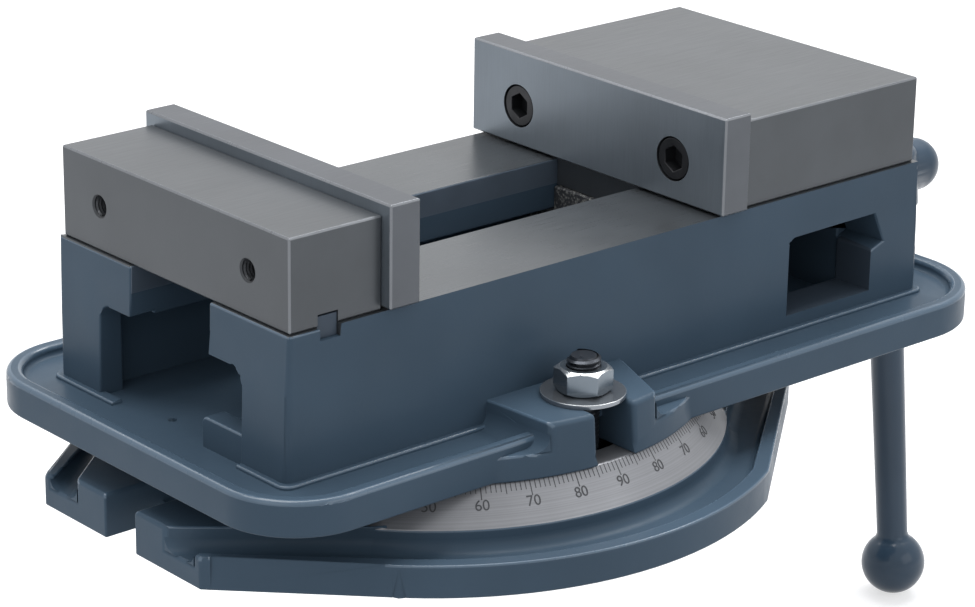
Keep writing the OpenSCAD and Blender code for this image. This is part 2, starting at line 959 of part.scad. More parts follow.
// Space in the movable jaw for the nut's hook, in x and z
module hook_space() {
    shift = seg_proud * sin(45);
    low = bed_z - tongue_t - over;
    drop = seg_z - low;
    back = seg_x + hook_back + hook_gap;
    top = seg_z + hook_up + hook_gap;
    polygon([[seg_x - shift + drop - shift, low], [seg_x - hook_tip - 2 * shift, seg_z + hook_tip],
        [seg_x - hook_tip - 2 * shift, top], [back, top], [back, low]]);
}

module movable_jaw() {
    color([0.50, 0.52, 0.54])
        difference() {
            union() {
                cut_block(moving_front, moving_back, block_w, bed_z, jaw_z, edge);
                // Tongue between the ways
                translate([grip_moving + tongue_inset, -way_fit_w / 2, bed_z - tongue_t])
                    cube([seg_x + hook_back - grip_moving - tongue_inset, way_fit_w, tongue_t]);
                translate([moving_front + edge, -way_fit_w / 2, bed_z - over])
                    cube([seg_x + hook_back - moving_front - edge, way_fit_w, 2 * over]);
            }
            translate([0, hook_w / 2 + hook_gap, 0])
                rotate([90, 0, 0])
                    linear_extrude(hook_w + 2 * hook_gap)
                        hook_space();
            translate([seg_x, 0, seg_z])
                sphere(r = seg_r + run_fit);
            for (s = [-1, 1])
                rod_x(moving_front - over, moving_front + plate_tap, plate_screw_d + 2 * fixed_fit,
                    bed_z + plate_screw_h, s * plate_screw_y);
            rod_x(seg_x, moving_back + over, set_d + 2 * fixed_fit, set_z);
        }
}

// Half ball whose flat faces up and towards the crank
module angle_segment() {
    color([0.66, 0.67, 0.69])
        translate([seg_x, 0, seg_z])
            rotate([0, 45, 0])
                difference() {
                    sphere(r = seg_r);
                    translate([-2 * seg_r, -2 * seg_r, 0])
                        cube([4 * seg_r, 4 * seg_r, 2 * seg_r]);
                }
}

module screw_nut() {
    drop = seg_z - nut_top;
    wing_z = way_z - slide_gap;
    color([0.30, 0.30, 0.31])
        difference() {
            union() {
                translate([nut_x0, -nut_w / 2, screw_z - nut_below])
                    cube([nut_x1 - nut_x0, nut_w, wing_z - screw_z + nut_below]);
                translate([nut_x0, -nut_wing_w / 2, wing_z - nut_wing_t])
                    cube([nut_x1 - nut_x0, nut_wing_w, nut_wing_t]);
                translate([nut_x0, -way_fit_w / 2, wing_z - over])
                    cube([nut_x1 - nut_x0, way_fit_w, nut_top - wing_z + over]);
                translate([0, hook_w / 2, 0])
                    rotate([90, 0, 0])
                        linear_extrude(hook_w)
                            polygon([[seg_x + drop, nut_top], [seg_x - hook_tip, seg_z + hook_tip],
                                [seg_x - hook_tip, seg_z + hook_up],
                                [seg_x + hook_back, seg_z + hook_up],
                                [seg_x + hook_back, nut_top - over],
                                [seg_x + drop, nut_top - over]]);
            }
            rod_x(nut_x0 - over, nut_x1 + over, screw_d + 2 * run_fit, screw_z);
        }
}

module jaw_set_screw() {
    x0 = seg_x + hook_back;
    color([0.15, 0.15, 0.16])
        difference() {
            rod_x(x0, x0 + set_len, set_d, set_z);
            hex_x(x0 + set_len - set_af, x0 + set_len + over, set_af, set_z);
        }
}

module lead_screw() {
    color([0.60, 0.61, 0.63])
        union() {
            translate([screw_x0, 0, screw_z])
                rotate([0, 90, 0])
                    cylinder(d1 = screw_d - 2 * screw_chamfer, d2 = screw_d, h = screw_chamfer);
            rod_x(screw_x0 + screw_chamfer, thread_end, screw_d, screw_z);
            rod_x(shoulder_x, shoulder_x + shoulder_t, shoulder_d, screw_z);
            rod_x(shoulder_x, journal_x1, journal_d, screw_z);
            hex_x(journal_x1, hex_x1, hex_af, screw_z);
        }
}

module screw_bush() {
    color([0.72, 0.55, 0.30])
        difference() {
            rod_x(end_wall_x, end_boss_x, bush_d, screw_z);
            rod_x(end_wall_x - over, end_boss_x + over, journal_d + 2 * run_fit, screw_z);
        }
}

module race(x0) {
    color([0.70, 0.71, 0.73])
        difference() {
            rod_x(x0, x0 + race_t, race_out_d, screw_z);
            rod_x(x0 - over, x0 + race_t + over, race_in_d, screw_z);
        }
}

module thrust_race_body() {
    race(race_body_x);
}

module thrust_race_screw() {
    race(race_screw_x);
}

// Needles stand like spokes round the screw
module needles(d, len) {
    for (i = [0 : needle_count - 1])
        translate([needle_x, 0, screw_z])
            rotate([i * 360 / needle_count, 0, 0])
                translate([0, 0, needle_r - len / 2])
                    cylinder(d = d, h = len, $fn = 24);
}

module thrust_cage() {
    cage_edge = 1;
    color([0.68, 0.60, 0.38])
        difference() {
            rod_x(needle_x - cage_t / 2, needle_x + cage_t / 2, race_out_d - cage_edge, screw_z);
            rod_x(needle_x - cage_t, needle_x + cage_t, race_in_d + cage_edge, screw_z);
            needles(needle_d + 2 * needle_gap, needle_len + 2 * needle_gap);
        }
}

module thrust_needles() {
    color([0.75, 0.76, 0.78])
        needles(needle_d, needle_len);
}

module bearing_collar() {
    color([0.35, 0.36, 0.38])
        difference() {
            translate([collar_x, 0, screw_z])
                rotate([0, 90, 0])
                    rotate_extrude()
                        polygon([[journal_d / 2 + fixed_fit, 0], [collar_d / 2 - collar_chamfer, 0],
                            [collar_d / 2, collar_chamfer], [collar_d / 2, collar_t - collar_chamfer],
                            [collar_d / 2 - collar_chamfer, collar_t],
                            [journal_d / 2 + fixed_fit, collar_t]]);
            translate([collar_x + collar_t / 2, 0, screw_z])
                cylinder(d = collar_set_d + 2 * fixed_fit, h = collar_d);
        }
}

module collar_set_screw() {
    low = journal_d / 2;
    high = collar_d / 2 - collar_chamfer;
    color([0.15, 0.15, 0.16])
        translate([collar_x + collar_t / 2, 0, screw_z])
            difference() {
                translate([0, 0, low])
                    cylinder(d = collar_set_d, h = high - low);
                translate([0, 0, high - collar_set_af])
                    cylinder(d = collar_set_af / cos(30), h = collar_set_af + over, $fn = 6);
            }
}

module crank_handle() {
    arm_from = boss_down - boss_r;
    neck_end = crank_len - sqrt(ball_d * ball_d - neck_d * neck_d) / 2 + neck_in;
    color([0.16, 0.22, 0.30])
        difference() {
            union() {
                rod_x(hub_x0, hub_x0 + hub_len, hub_d, screw_z);
                translate([hub_x0 + hub_len, 0, screw_z])
                    sphere(d = hub_d);
                // Arm, turned about the screw's axis
                translate([arm_x, 0, screw_z])
                    rotate([-crank_angle, 0, 0])
                        mirror([0, 0, 1]) {
                            translate([0, 0, -boss_up])
                                rotate_extrude()
                                    intersection() {
                                        square([boss_d, boss_up + boss_down]);
                                        translate([-boss_d / 2, boss_up + boss_down])
                                            mirror([0, 1])
                                                round_top(boss_d, boss_up + boss_down, boss_r);
                                    }
                            translate([0, 0, arm_from])
                                cylinder(d1 = arm_d, d2 = arm_end_d, h = crank_len - arm_from);
                            // Neck that flares out to the ball
                            translate([0, 0, neck_end - neck_t])
                                cylinder(d1 = arm_end_d, d2 = neck_d, h = neck_t);
                            translate([0, 0, crank_len])
                                sphere(d = ball_d);
                        }
            }
            hex_x(hub_x0 - over, hex_x1 + socket_end, hex_af + 2 * hex_gap, screw_z);
        }
}

swivel_base();
vise_body();
vise_tray();
pivot_pin();
clamp_bolts();
washer_near();
washer_far();
nut_near();
nut_far();
fixed_jaw();
jaw_key();
fixed_jaw_bolts();
fixed_plate();
fixed_plate_screws();
movable_jaw();
movable_plate();
movable_plate_screws();
angle_segment();
screw_nut();
jaw_set_screw();
lead_screw();
screw_bush();
thrust_race_body();
thrust_cage();
thrust_needles();
thrust_race_screw();
bearing_collar();
collar_set_screw();
crank_handle();
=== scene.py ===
import math

import bmesh
import bpy
from mathutils import Matrix, Vector
from mathutils.bvhtree import BVHTree


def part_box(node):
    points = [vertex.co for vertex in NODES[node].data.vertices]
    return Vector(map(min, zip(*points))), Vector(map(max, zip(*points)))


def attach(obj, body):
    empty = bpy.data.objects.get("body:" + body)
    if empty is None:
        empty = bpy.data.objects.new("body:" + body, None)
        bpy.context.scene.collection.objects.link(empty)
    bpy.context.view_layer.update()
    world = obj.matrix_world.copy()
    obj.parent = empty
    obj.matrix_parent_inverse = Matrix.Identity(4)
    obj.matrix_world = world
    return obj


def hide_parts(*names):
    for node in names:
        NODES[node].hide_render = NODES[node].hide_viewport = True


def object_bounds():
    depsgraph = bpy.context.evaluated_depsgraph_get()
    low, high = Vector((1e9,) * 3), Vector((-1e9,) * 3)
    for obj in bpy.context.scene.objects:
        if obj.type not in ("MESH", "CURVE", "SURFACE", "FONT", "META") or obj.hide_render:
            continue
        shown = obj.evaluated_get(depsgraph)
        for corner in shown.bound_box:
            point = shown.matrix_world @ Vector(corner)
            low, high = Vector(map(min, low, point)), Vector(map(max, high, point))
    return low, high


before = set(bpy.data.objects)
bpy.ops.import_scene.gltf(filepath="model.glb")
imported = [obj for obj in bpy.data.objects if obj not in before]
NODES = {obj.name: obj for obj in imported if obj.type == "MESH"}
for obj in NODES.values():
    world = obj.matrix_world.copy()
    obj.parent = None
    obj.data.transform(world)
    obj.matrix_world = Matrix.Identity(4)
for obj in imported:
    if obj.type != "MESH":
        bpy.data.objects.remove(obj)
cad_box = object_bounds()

MM = 0.001
scene = bpy.context.scene

# Lengths are in millimetres, and MM turns them into the frame's metres. Only the lamps, the
# floor, the cleaning of meshes and the distances in material nodes are stated in metres.

# Sizes shared with the solids
TRAY_Z = 43.6
BED_Z = 105.0
WALL_Y = 76.3
SLOT_SIDE_Y = 27.0
TUNNEL_X = (-133.0, 190.0)
KEY_X = -113.5
LUG_Z = 55.0
LUG_R = 117.5
LUG_DRAFT = 2.0
BOLT_CIRCLE = 96.0
BASE_H = 33.0
BAND_TOP_R = 115.5
BAND_FOOT_R = 127.0
BAND_FOOT_Z = 18.0
DECK_Z = 9.0
RIM_IN_R = 143.2
EAR_X = 159.7
EAR_RIM = 7.0
PAD_R = 125.0
PAD_HALF = 30.0
SCREW_Z = 68.0
SCREW_R = 12.0
SCREW_CORE_R = 9.4
SCREW_PITCH = 5.0
SHOULDER_X = 178.3
PLATE_SCREW_Y = 49.0
PLATE_SCREW_Z = 124.0


# Material nodes

# Sockets of a colour mix node, which share their names with its other data types
MIX_FACTOR, MIX_A, MIX_B, MIX_RESULT = 0, 6, 7, 2


def new_material(name, color, metallic, rough, specular=0.5, coat=0.0, coat_rough=0.2):
    mat = bpy.data.materials.new(name)
    mat.use_nodes = True
    tree = mat.node_tree
    shader = tree.nodes["Principled BSDF"]
    shader.inputs["Base Color"].default_value = (*color, 1)
    shader.inputs["Metallic"].default_value = metallic
    shader.inputs["Roughness"].default_value = rough
    shader.inputs["Specular IOR Level"].default_value = specular
    shader.inputs["Coat Weight"].default_value = coat
    shader.inputs["Coat Roughness"].default_value = coat_rough
    mat.diffuse_color = (*color, 1)
    return mat, tree, shader


def add(tree, kind, **values):
    """Adds a node, and sets each value on its input of that name or else on the node."""
    node = tree.nodes.new(kind)
    for key, value in values.items():
        if key in node.inputs:
            node.inputs[key].default_value = value
        else:
            setattr(node, key, value)
    return node


def object_coords(tree, scale=(1, 1, 1)):
    source = add(tree, "ShaderNodeTexCoord")
    mapping = add(tree, "ShaderNodeMapping", Scale=scale)
    tree.links.new(source.outputs["Object"], mapping.inputs["Vector"])
    return mapping.outputs["Vector"]


def ring_coords(tree, rings, axis):
    """Coordinates that change along one axis only, for marks that run round it."""
    source = add(tree, "ShaderNodeTexCoord")
    split = add(tree, "ShaderNodeSeparateXYZ")
    tree.links.new(source.outputs["Object"], split.inputs["Vector"])
    joined = add(tree, "ShaderNodeCombineXYZ")
    tree.links.new(split.outputs[axis], joined.inputs["Z"])
    mapping = add(tree, "ShaderNodeMapping", Scale=(1, 1, rings))
    tree.links.new(joined.outputs["Vector"], mapping.inputs["Vector"])
    return mapping.outputs["Vector"]


def noise(tree, vector, scale, detail=2.0, roughness=0.5):
    node = add(tree, "ShaderNodeTexNoise", Scale=scale, Detail=detail, Roughness=roughness)
    tree.links.new(vector, node.inputs["Vector"])
    return node.outputs["Fac"]


def ramp(tree, factor, low, high, start=0.35, stop=0.65):
    node = add(tree, "ShaderNodeValToRGB")
    first, last = node.color_ramp.elements
    first.position, last.position = start, stop
    first.color, last.color = (*low, 1), (*high, 1)
    tree.links.new(factor, node.inputs["Fac"])
    return node.outputs["Color"]


def spread(tree, factor, low, high):
    """Spreads the middle of a noise over the range from low to high."""
    node = add(tree, "ShaderNodeMapRange")
    node.inputs["From Min"].default_value = 0.3
    node.inputs["From Max"].default_value = 0.7
    node.inputs["To Min"].default_value = low
    node.inputs["To Max"].default_value = high
    tree.links.new(factor, node.inputs["Value"])
    return node.outputs["Result"]


def bump(tree, height, strength, distance, before=None):
    node = add(tree, "ShaderNodeBump", Strength=strength, Distance=distance)
    tree.links.new(height, node.inputs["Height"])
    if before is not None:
        tree.links.new(before, node.inputs["Normal"])
    return node.outputs["Normal"]


def shade(color, factor):
    return tuple(min(1.0, c * factor) for c in color)


# Finishes

def enamel(name, color, rough, grain=0.16, specular=0.1, coat=0.0):
    """Paint on a casting: faint clouds, uneven gloss and a coarse and a fine grain."""
    mat, tree, shader = new_material(name, color, 0.0, rough, specular, coat, coat_rough=0.12)
    coords = object_coords(tree)
    clouds = noise(tree, coords, scale=14, detail=3)
    tree.links.new(ramp(tree, clouds, shade(color, 0.93), shade(color, 1.07)),
                   shader.inputs["Base Color"])
    gloss = noise(tree, coords, scale=60, detail=4)
    tree.links.new(spread(tree, gloss, rough - 0.05, rough + 0.07), shader.inputs["Roughness"])
    fine = bump(tree, noise(tree, coords, scale=650), grain, distance=0.00012)
    coarse = bump(tree, noise(tree, coords, scale=130), grain, distance=0.0004, before=fine)
    tree.links.new(coarse, shader.inputs["Normal"])
    return mat


def tooled(tree, shader, color, rough, clouds, lines, tones, mark, gloss, strength):
    """Gives steel its tool marks: lines and clouds in the colour, lines in gloss and relief."""
    mix = add(tree, "ShaderNodeMix", data_type="RGBA", blend_type="MULTIPLY")
    mix.inputs[MIX_FACTOR].default_value = 1.0
    low, high = (shade(color, tone) for tone in tones)
    tree.links.new(ramp(tree, clouds, low, high), mix.inputs[MIX_A])
    tree.links.new(ramp(tree, lines, (1 - mark,) * 3, (1, 1, 1)), mix.inputs[MIX_B])
    tree.links.new(mix.outputs[MIX_RESULT], shader.inputs["Base Color"])
    smoother, rougher = gloss
    tree.links.new(spread(tree, lines, rough - smoother, rough + rougher),
                   shader.inputs["Roughness"])
    tree.links.new(bump(tree, lines, strength, distance=0.00003), shader.inputs["Normal"])


def ground(name, color, rough, lines=(60, 2600, 60), metallic=0.6):
    """Steel with straight grinding lines along X."""
    mat, tree, shader = new_material(name, color, metallic, rough)
    fine = noise(tree, object_coords(tree, lines), scale=1, detail=3, roughness=0.6)
    clouds = noise(tree, object_coords(tree), scale=22, detail=3)
    tooled(tree, shader, color, rough, clouds, fine, tones=(0.94, 1.06), mark=0.08,
           gloss=(0.04, 0.06), strength=0.12)
    return mat


def turned(name, color, rough, axis="Z", rings=1500, metallic=0.8, mark=0.14):
    """Steel with tool marks that run round an axis."""
    mat, tree, shader = new_material(name, color, metallic, rough)
    fine = noise(tree, ring_coords(tree, rings, axis), scale=1, detail=3, roughness=0.7)
    clouds = noise(tree, object_coords(tree), scale=26, detail=3)
    tooled(tree, shader, color, rough, clouds, fine, tones=(0.93, 1.06), mark=mark,
           gloss=(0.05, 0.08), strength=0.15)
    return mat


def dull(name, color, metallic, rough, scale, detail, low, high):
    """A plain finish whose roughness wanders from low to high."""
    mat, tree, shader = new_material(name, color, metallic, rough)
    gloss = noise(tree, object_coords(tree), scale, detail)
    tree.links.new(spread(tree, gloss, low, high), shader.inputs["Roughness"])
    return mat


def black_oxide(name):
    mat = dull(name, (0.022, 0.023, 0.026), 0.6, 0.4, scale=120, detail=3, low=0.32, high=0.5)
    tree = mat.node_tree
    grain = noise(tree, object_coords(tree), scale=900)
    tree.links.new(bump(tree, grain, strength=0.2, distance=0.00004),
                   tree.nodes["Principled BSDF"].inputs["Normal"])
    return mat


def bare_casting(name):
    """Unpainted iron with light speckles on a dark skin."""
    mat, tree, shader = new_material(name, (0.05, 0.052, 0.056), 0.2, 0.6, specular=0.2)
    coords = object_coords(tree)
    speckles = noise(tree, coords, scale=900, detail=3)
    tree.links.new(ramp(tree, speckles, (0.032, 0.034, 0.038), (0.22, 0.22, 0.21),
                        start=0.5, stop=0.72), shader.inputs["Base Color"])
    gloss = noise(tree, coords, scale=300, detail=3)
    tree.links.new(spread(tree, gloss, 0.5, 0.75), shader.inputs["Roughness"])
    skin = noise(tree, coords, scale=700, detail=3)
    tree.links.new(bump(tree, skin, strength=0.5, distance=0.0002), shader.inputs["Normal"])
    return mat


PAINT = (0.044, 0.070, 0.100)
WAY_LINES = (50, 1900, 50)
SCREW_RINGS = 2600

paint = enamel("enamel_blue_grey", PAINT, 0.36)
# Glossier paint for rounded edges that look up, its colour lighter than the paint: a painted
# highlight.
glossy_edge_painted_highlight = enamel("enamel_glossy_edges_painted_highlight", shade(PAINT, 1.35), 0.24, grain=0.05, specular=0.35, coat=0.2)
crank_paint = enamel("enamel_dark_blue", (0.027, 0.048, 0.075), 0.34, grain=0.06, specular=0.14,
                     coat=0.3)
# A darker, duller copy of the paint for the faces inside the cavity: painted shade.
cavity_painted_shade = enamel("enamel_cavity_painted_shade", (0.040, 0.054, 0.073), 0.5, specular=0.03)
jaw_steel = ground("ground_steel", (0.068, 0.075, 0.083), 0.34)
plate_steel = ground("plate_steel", (0.088, 0.096, 0.108), 0.34)
# A darker copy of the plate steel for the plates' top faces: painted shade.
plate_top_painted_shade = ground("plate_top_painted_shade", (0.056, 0.063, 0.075), 0.34)
# A lighter copy of the plate steel for the plate faces that face along X: painted light.
plate_x_face_painted_light = ground("plate_x_face_painted_light", (0.165, 0.192, 0.220), 0.34)
way_steel = ground("way_steel", (0.070, 0.078, 0.086), 0.30, WAY_LINES)
key_steel = ground("key_steel", (0.085, 0.09, 0.098), 0.35)
# A much darker steel for the insides of screw holes and counterbores: painted shade.
hole_painted_shade = ground("hole_painted_shade", (0.035, 0.038, 0.043), 0.4, metallic=0.5)
# A much lighter steel for the slanted chamfers of the jaw blocks and plates: a painted highlight.
chamfer_painted_highlight = ground("chamfer_painted_highlight", (0.17, 0.18, 0.195), 0.3, metallic=0.7)
key_paint = enamel("key_finish", (0.052, 0.068, 0.090), 0.4)
dark_steel = ground("dark_steel", (0.120, 0.155, 0.200), 0.35, WAY_LINES, metallic=0.5)
band_steel = turned("band_steel", (0.255, 0.262, 0.28), 0.34, metallic=0.6, mark=0.22)
bright_zinc = turned("bright_zinc", (0.25, 0.27, 0.295), 0.22)
nut_zinc = turned("nut_zinc", (0.17, 0.20, 0.23), 0.2)
# A much lighter zinc for nut chamfers and washer edges that look up: a painted highlight.
zinc_painted_highlight = turned("zinc_painted_highlight", (0.62, 0.64, 0.66), 0.2, metallic=0.9)
screw_steel = turned("screw_steel", (0.42, 0.42, 0.43), 0.30, "X", SCREW_RINGS, metallic=0.9)
bearing_steel = turned("bearing_steel", (0.55, 0.55, 0.56), 0.22, "X", SCREW_RINGS, metallic=0.9)
black_steel = black_oxide("black_oxide")
stud_steel = dull("stud_black", (0.036, 0.041, 0.050), 0.7, 0.28, scale=300, detail=3,
                  low=0.25, high=0.42)
cast_iron = bare_casting("cast_iron_bare")
bronze = turned("bronze", (0.45, 0.29, 0.12), 0.35, "X", SCREW_RINGS, metallic=0.9)
ink = dull("dial_ink", (0.035, 0.037, 0.042), 0.0, 0.6, scale=400, detail=2, low=0.5, high=0.7)


# Mesh helpers

MERGE, ON_CUT = 4e-6, 1e-7
SAME_PLANE, FOLDED = math.radians(0.2), math.radians(150)
ROUNDING_TRIES = 14
ROUNDING_REACH = 0.6
WIDE_SEGMENTS = 4
# Rounded faces whose normal looks up more than this take the lighter edge material, a painted
# highlight.
PAINTED_HIGHLIGHT_NORMAL_Z = 0.15


def piece(name, bm, body, materials, angle=32):
    """Turns the mesh into a piece that rides a body, with edges over the angle left sharp."""
    bmesh.ops.recalc_face_normals(bm, faces=bm.faces)
    mesh = bpy.data.meshes.new(name)
    for face in bm.faces:
        face.smooth = True
    bm.to_mesh(mesh)
    bm.free()
    mesh.set_sharp_from_angle(angle=math.radians(angle))
    o = bpy.data.objects.new(name, mesh)
    scene.collection.objects.link(o)
    for material in materials:
        mesh.materials.append(material)
    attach(o, body)
    return o


def cut_faces(bm, height, inside):
    """Cuts the faces that pass the test inside at a height in mm."""
    faces = [f for f in bm.faces if inside(f.calc_center_median() / MM, f.normal)]
    edges = list({e for f in faces for e in f.edges})
    verts = list({v for f in faces for v in f.verts})
    bmesh.ops.bisect_plane(bm, geom=faces + edges + verts, plane_co=(0, 0, height * MM),
                           plane_no=(0, 0, 1), dist=ON_CUT)


def cleaned(node, materials, pick, cuts):
    """A node's mesh with its triangles joined back into faces, each with its material.

    pick tells a face's material from its middle in mm and its normal, or None for the first.
    """
    bm = bmesh.new()
    bm.from_mesh(NODES[node].data)
    bmesh.ops.remove_doubles(bm, verts=bm.verts, dist=MERGE)
    bmesh.ops.dissolve_degenerate(bm, edges=bm.edges, dist=MERGE)
    for height, inside in cuts:
        cut_faces(bm, height, inside)
    for face in bm.faces:
        material = pick and pick(face.calc_center_median() / MM, face.normal)
        face.material_index = materials.index(material) if material else 0
    bmesh.ops.dissolve_limit(bm, angle_limit=SAME_PLANE, use_dissolve_boundaries=False,
                             verts=bm.verts, edges=bm.edges, delimit={"MATERIAL"})
    bm.normal_update()
    return bm


def broken_points(bm, near, width, src):
    """Points of the source mesh where rounding went too far off it or folded a face over."""
    bad = set()
    for v in bm.verts:
        gap = near.find_nearest(v.co)[3]
        if gap is None or gap > ROUNDING_REACH * width * MM:
            bad.add(v[src])
    for e in bm.edges:
        if len(e.link_faces) == 2 and e.calc_face_angle() > FOLDED:
            bad |= {v[src] for v in e.verts}
    return bad


def round_edges(base, width, segments, chosen, gloss=None):
    """Rounds the chosen edges, and leaves those sharp whose rounding would break the mesh.

    The rounded faces of the first material that look upwards take the material index gloss, a
    glossier and lighter finish that is a painted highlight.
    """
    src = base.verts.layers.int.get("src") or base.verts.layers.int.new("src")
    for i, v in enumerate(base.verts):
        v[src] = i + 1
    near = BVHTree.FromBMesh(base)
    sharp = set()
    for _ in range(ROUNDING_TRIES):
        bm = base.copy()
        src = bm.verts.layers.int["src"]
        edges = [e for e in bm.edges if len(e.link_faces) == 2 and chosen(e)
                 and not {v[src] for v in e.verts} & sharp]
        made = bmesh.ops.bevel(bm, geom=edges, offset=width * MM, offset_type="OFFSET",
                               segments=segments, profile=0.5, affect="EDGES",
                               clamp_overlap=False, material=-1, loop_slide=True)
        bm.normal_update()
        # Rounded faces that look up get the lighter material: a painted highlight.
        for face in made["faces"]:
            if gloss is not None and face.material_index == 0 and face.normal.z > PAINTED_HIGHLIGHT_NORMAL_Z:
                face.material_index = gloss
        bad = broken_points(bm, near, width, src) - sharp - {0}
        if not bad:
            break
        sharp |= bad
        bm.free()
    print("rounded", width, len(edges), "edges, left sharp at", len(sharp), "points")
    base.free()
    return bm


def eased(node, name, body, width, materials, pick=None, angle=30, segments=2, cuts=(),
          wide=None, keep=None, gloss=None):
    """A copy of a CAD node with its sharp edges rounded, which then stands for the node.

    wide holds a larger width and a test for its edges, edges with both ends in keep stay sharp, and
    gloss is the glossier and lighter material of rounded edges that look upwards, a painted
    highlight.
    """
    bm = cleaned(node, materials, pick, cuts)
    limit = math.radians(angle)

    def open_edge(e):
        return e.calc_face_angle_signed() > limit and not (
            keep and all(keep(v.co / MM) for v in e.verts))

    if wide:
        broad, test = wide
        bm = round_edges(bm, broad, WIDE_SEGMENTS, lambda e: open_edge(e)
                         and all(test(v.co / MM) for v in e.verts))
    bm = round_edges(bm, width, segments, open_edge, materials.index(gloss) if gloss else None)
    o = piece(name, bm, body, materials)
    even = o.modifiers.new("even_normals", "WEIGHTED_NORMAL")
    even.mode, even.weight, even.keep_sharp = "FACE_AREA", 50, True
    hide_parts(node)


def round_z(radius, angle, height):
    """The point in metres at a radius and height in mm and an angle in radians."""
    return Vector((radius * MM * math.cos(angle), radius * MM * math.sin(angle), height * MM))


def lathe(bm, profile, steps, matrix):
    """Adds a turned solid: profile holds (radius, height) pairs in mm from bottom to top."""
    rings = []
    for r, z in profile:
        angles = [2 * math.pi * i / steps for i in range(steps if r else 1)]
        rings.append([bm.verts.new(matrix @ round_z(r, a, z)) for a in angles])
    for a, b in zip(rings, rings[1:]):
        for i in range(steps):
            j = (i + 1) % steps
            if len(a) == 1:
                bm.faces.new((a[0], b[j], b[i]))
            elif len(b) == 1:
                bm.faces.new((a[i], a[j], b[0]))
            else:
                bm.faces.new((a[i], a[j], b[j], b[i]))


def thread(bm, matrix, r_out, r_in, pitch, z0, z1, steps, flat=0.12, root=0.12):
    """Adds a right-handed thread's surface round the matrix's Z axis, from z0 to z1 in mm.

    flat and root are the widths of its crest and its root as shares of the pitch.
    """
    section = [(0, r_in), (root, r_in), (0.5 - flat / 2 + root / 2, r_out),
               (0.5 + flat / 2 + root / 2, r_out), (1, r_in)]
    count = int(round((z1 - z0) / pitch * steps)) - steps
    rows = []
    for i in range(count + 1):
        start = z0 + pitch * i / steps
        rows.append([bm.verts.new(matrix @ round_z(r, 2 * math.pi * i / steps,
                                                   start + share * pitch))
                     for share, r in section])
    for p, q in zip(rows, rows[1:]):
        for k in range(len(section) - 1):
            bm.faces.new((p[k], q[k], q[k + 1], p[k + 1]))


def at(x, y, z):
    return Matrix.Translation(Vector((x, y, z)) * MM)


def along_x(x, y, z):
    """Places a local Z axis along +X."""
    return at(x, y, z) @ Matrix.Rotation(math.radians(90), 4, "Y")


# Tests that pick a face's material from its middle in mm and its normal

FLAT, HALF_WAY, SLANT = 0.9, 0.5, 0.8
TOUCH = 0.2
WAY_JOINT_Z = BED_Z - 11.5
WAY_LOW_Z = 80.0
JAW_STEP_Z = BED_Z - 7.0
KEY_REACH, KEY_Y = 6.0, 76.0
CAVITY_X, CAVITY_Y, CAVITY_Z = (130.0, 190.2), 75.0, (46.0, 88.0)
RIM_ROUND_Z, RIM_ROUND_NORMAL = TRAY_Z + 1.9, (0.12, 0.985)
BAND_R, BAND_NORMAL = (BAND_TOP_R - 2, BAND_FOOT_R + 0.5), (0.3, FLAT)
NUT_BEVEL_NORMAL = (0.3, 0.98)
SCREW_HOLE_R, COUNTERBORE_R, BORE_NORMAL = 7.0, 10.2, 0.95


def within(value, limits):
    return limits[0] < value < limits[1]


def in_slot_wall(c, n):
    return abs(n.y) > FLAT and abs(c.y) < SLOT_SIDE_Y


def body_pick(c, n):
    if n.z > FLAT and c.z > BED_Z - TOUCH:
        return way_steel
    if in_slot_wall(c, n) and c.z > WAY_JOINT_Z and within(c.x, TUNNEL_X):
        return dark_steel
    near_key = abs(c.x - KEY_X) < KEY_REACH and abs(c.y) < KEY_Y
    if near_key and c.z > JAW_STEP_Z and abs(n.z) < HALF_WAY:
        return way_steel
    # Faces inside the cavity take the darker paint: painted shade.
    in_cavity = within(c.x, CAVITY_X) and within(c.z, CAVITY_Z) and abs(c.y) < CAVITY_Y
    if in_cavity and abs(n.y) < HALF_WAY:
        return cavity_painted_shade
    return None


def tray_pick(c, n):
    """The rounded upper corners of the tray's rim take the glossier, lighter edge paint like the
    other edges: a painted highlight.
    """
    return glossy_edge_painted_highlight if c.z > RIM_ROUND_Z and within(n.z, RIM_ROUND_NORMAL) else None


def base_pick(c, n):
    on_slope = within(math.hypot(c.x, c.y), BAND_R) and within(c.z, (BAND_FOOT_Z, BASE_H))
    on_top = c.z > BASE_H - TOUCH and n.z > FLAT
    return band_steel if on_slope and within(n.z, BAND_NORMAL) or on_top else None


def slanted(n):
    return max(abs(n.x), abs(n.y), abs(n.z)) < SLANT


def in_screw_hole(c, n, reach):
    away = math.hypot(abs(c.y) - PLATE_SCREW_Y, c.z - PLATE_SCREW_Z)
    return away < reach and abs(n.x) < BORE_NORMAL


def block_pick(c, n):
    # Screw holes take the darker steel: painted shade.
    if in_screw_hole(c, n, SCREW_HOLE_R):
        return hole_painted_shade
    # Slanted chamfers take the lighter steel: a painted highlight.
    return chamfer_painted_highlight if slanted(n) else None


def plate_pick(c, n):
    # Counterbores take the darker steel: painted shade.
    if in_screw_hole(c, n, COUNTERBORE_R):
        return hole_painted_shade
    # Faces along X take the lighter copy of the plate steel: painted light.
    if abs(n.x) > FLAT:
        return plate_x_face_painted_light
    # Top faces take the darker copy of the plate steel: painted shade.
    if n.z > FLAT:
        return plate_top_painted_shade
    # Slanted chamfers take the lighter steel: a painted highlight.
    return chamfer_painted_highlight if slanted(n) else None


def nut_pick(c, n):
    # Chamfers that look up take the much lighter zinc: a painted highlight.
    return zinc_painted_highlight if within(n.z, NUT_BEVEL_NORMAL) else None


# Castings: the widths of their rounded edges, and the places where the width differs

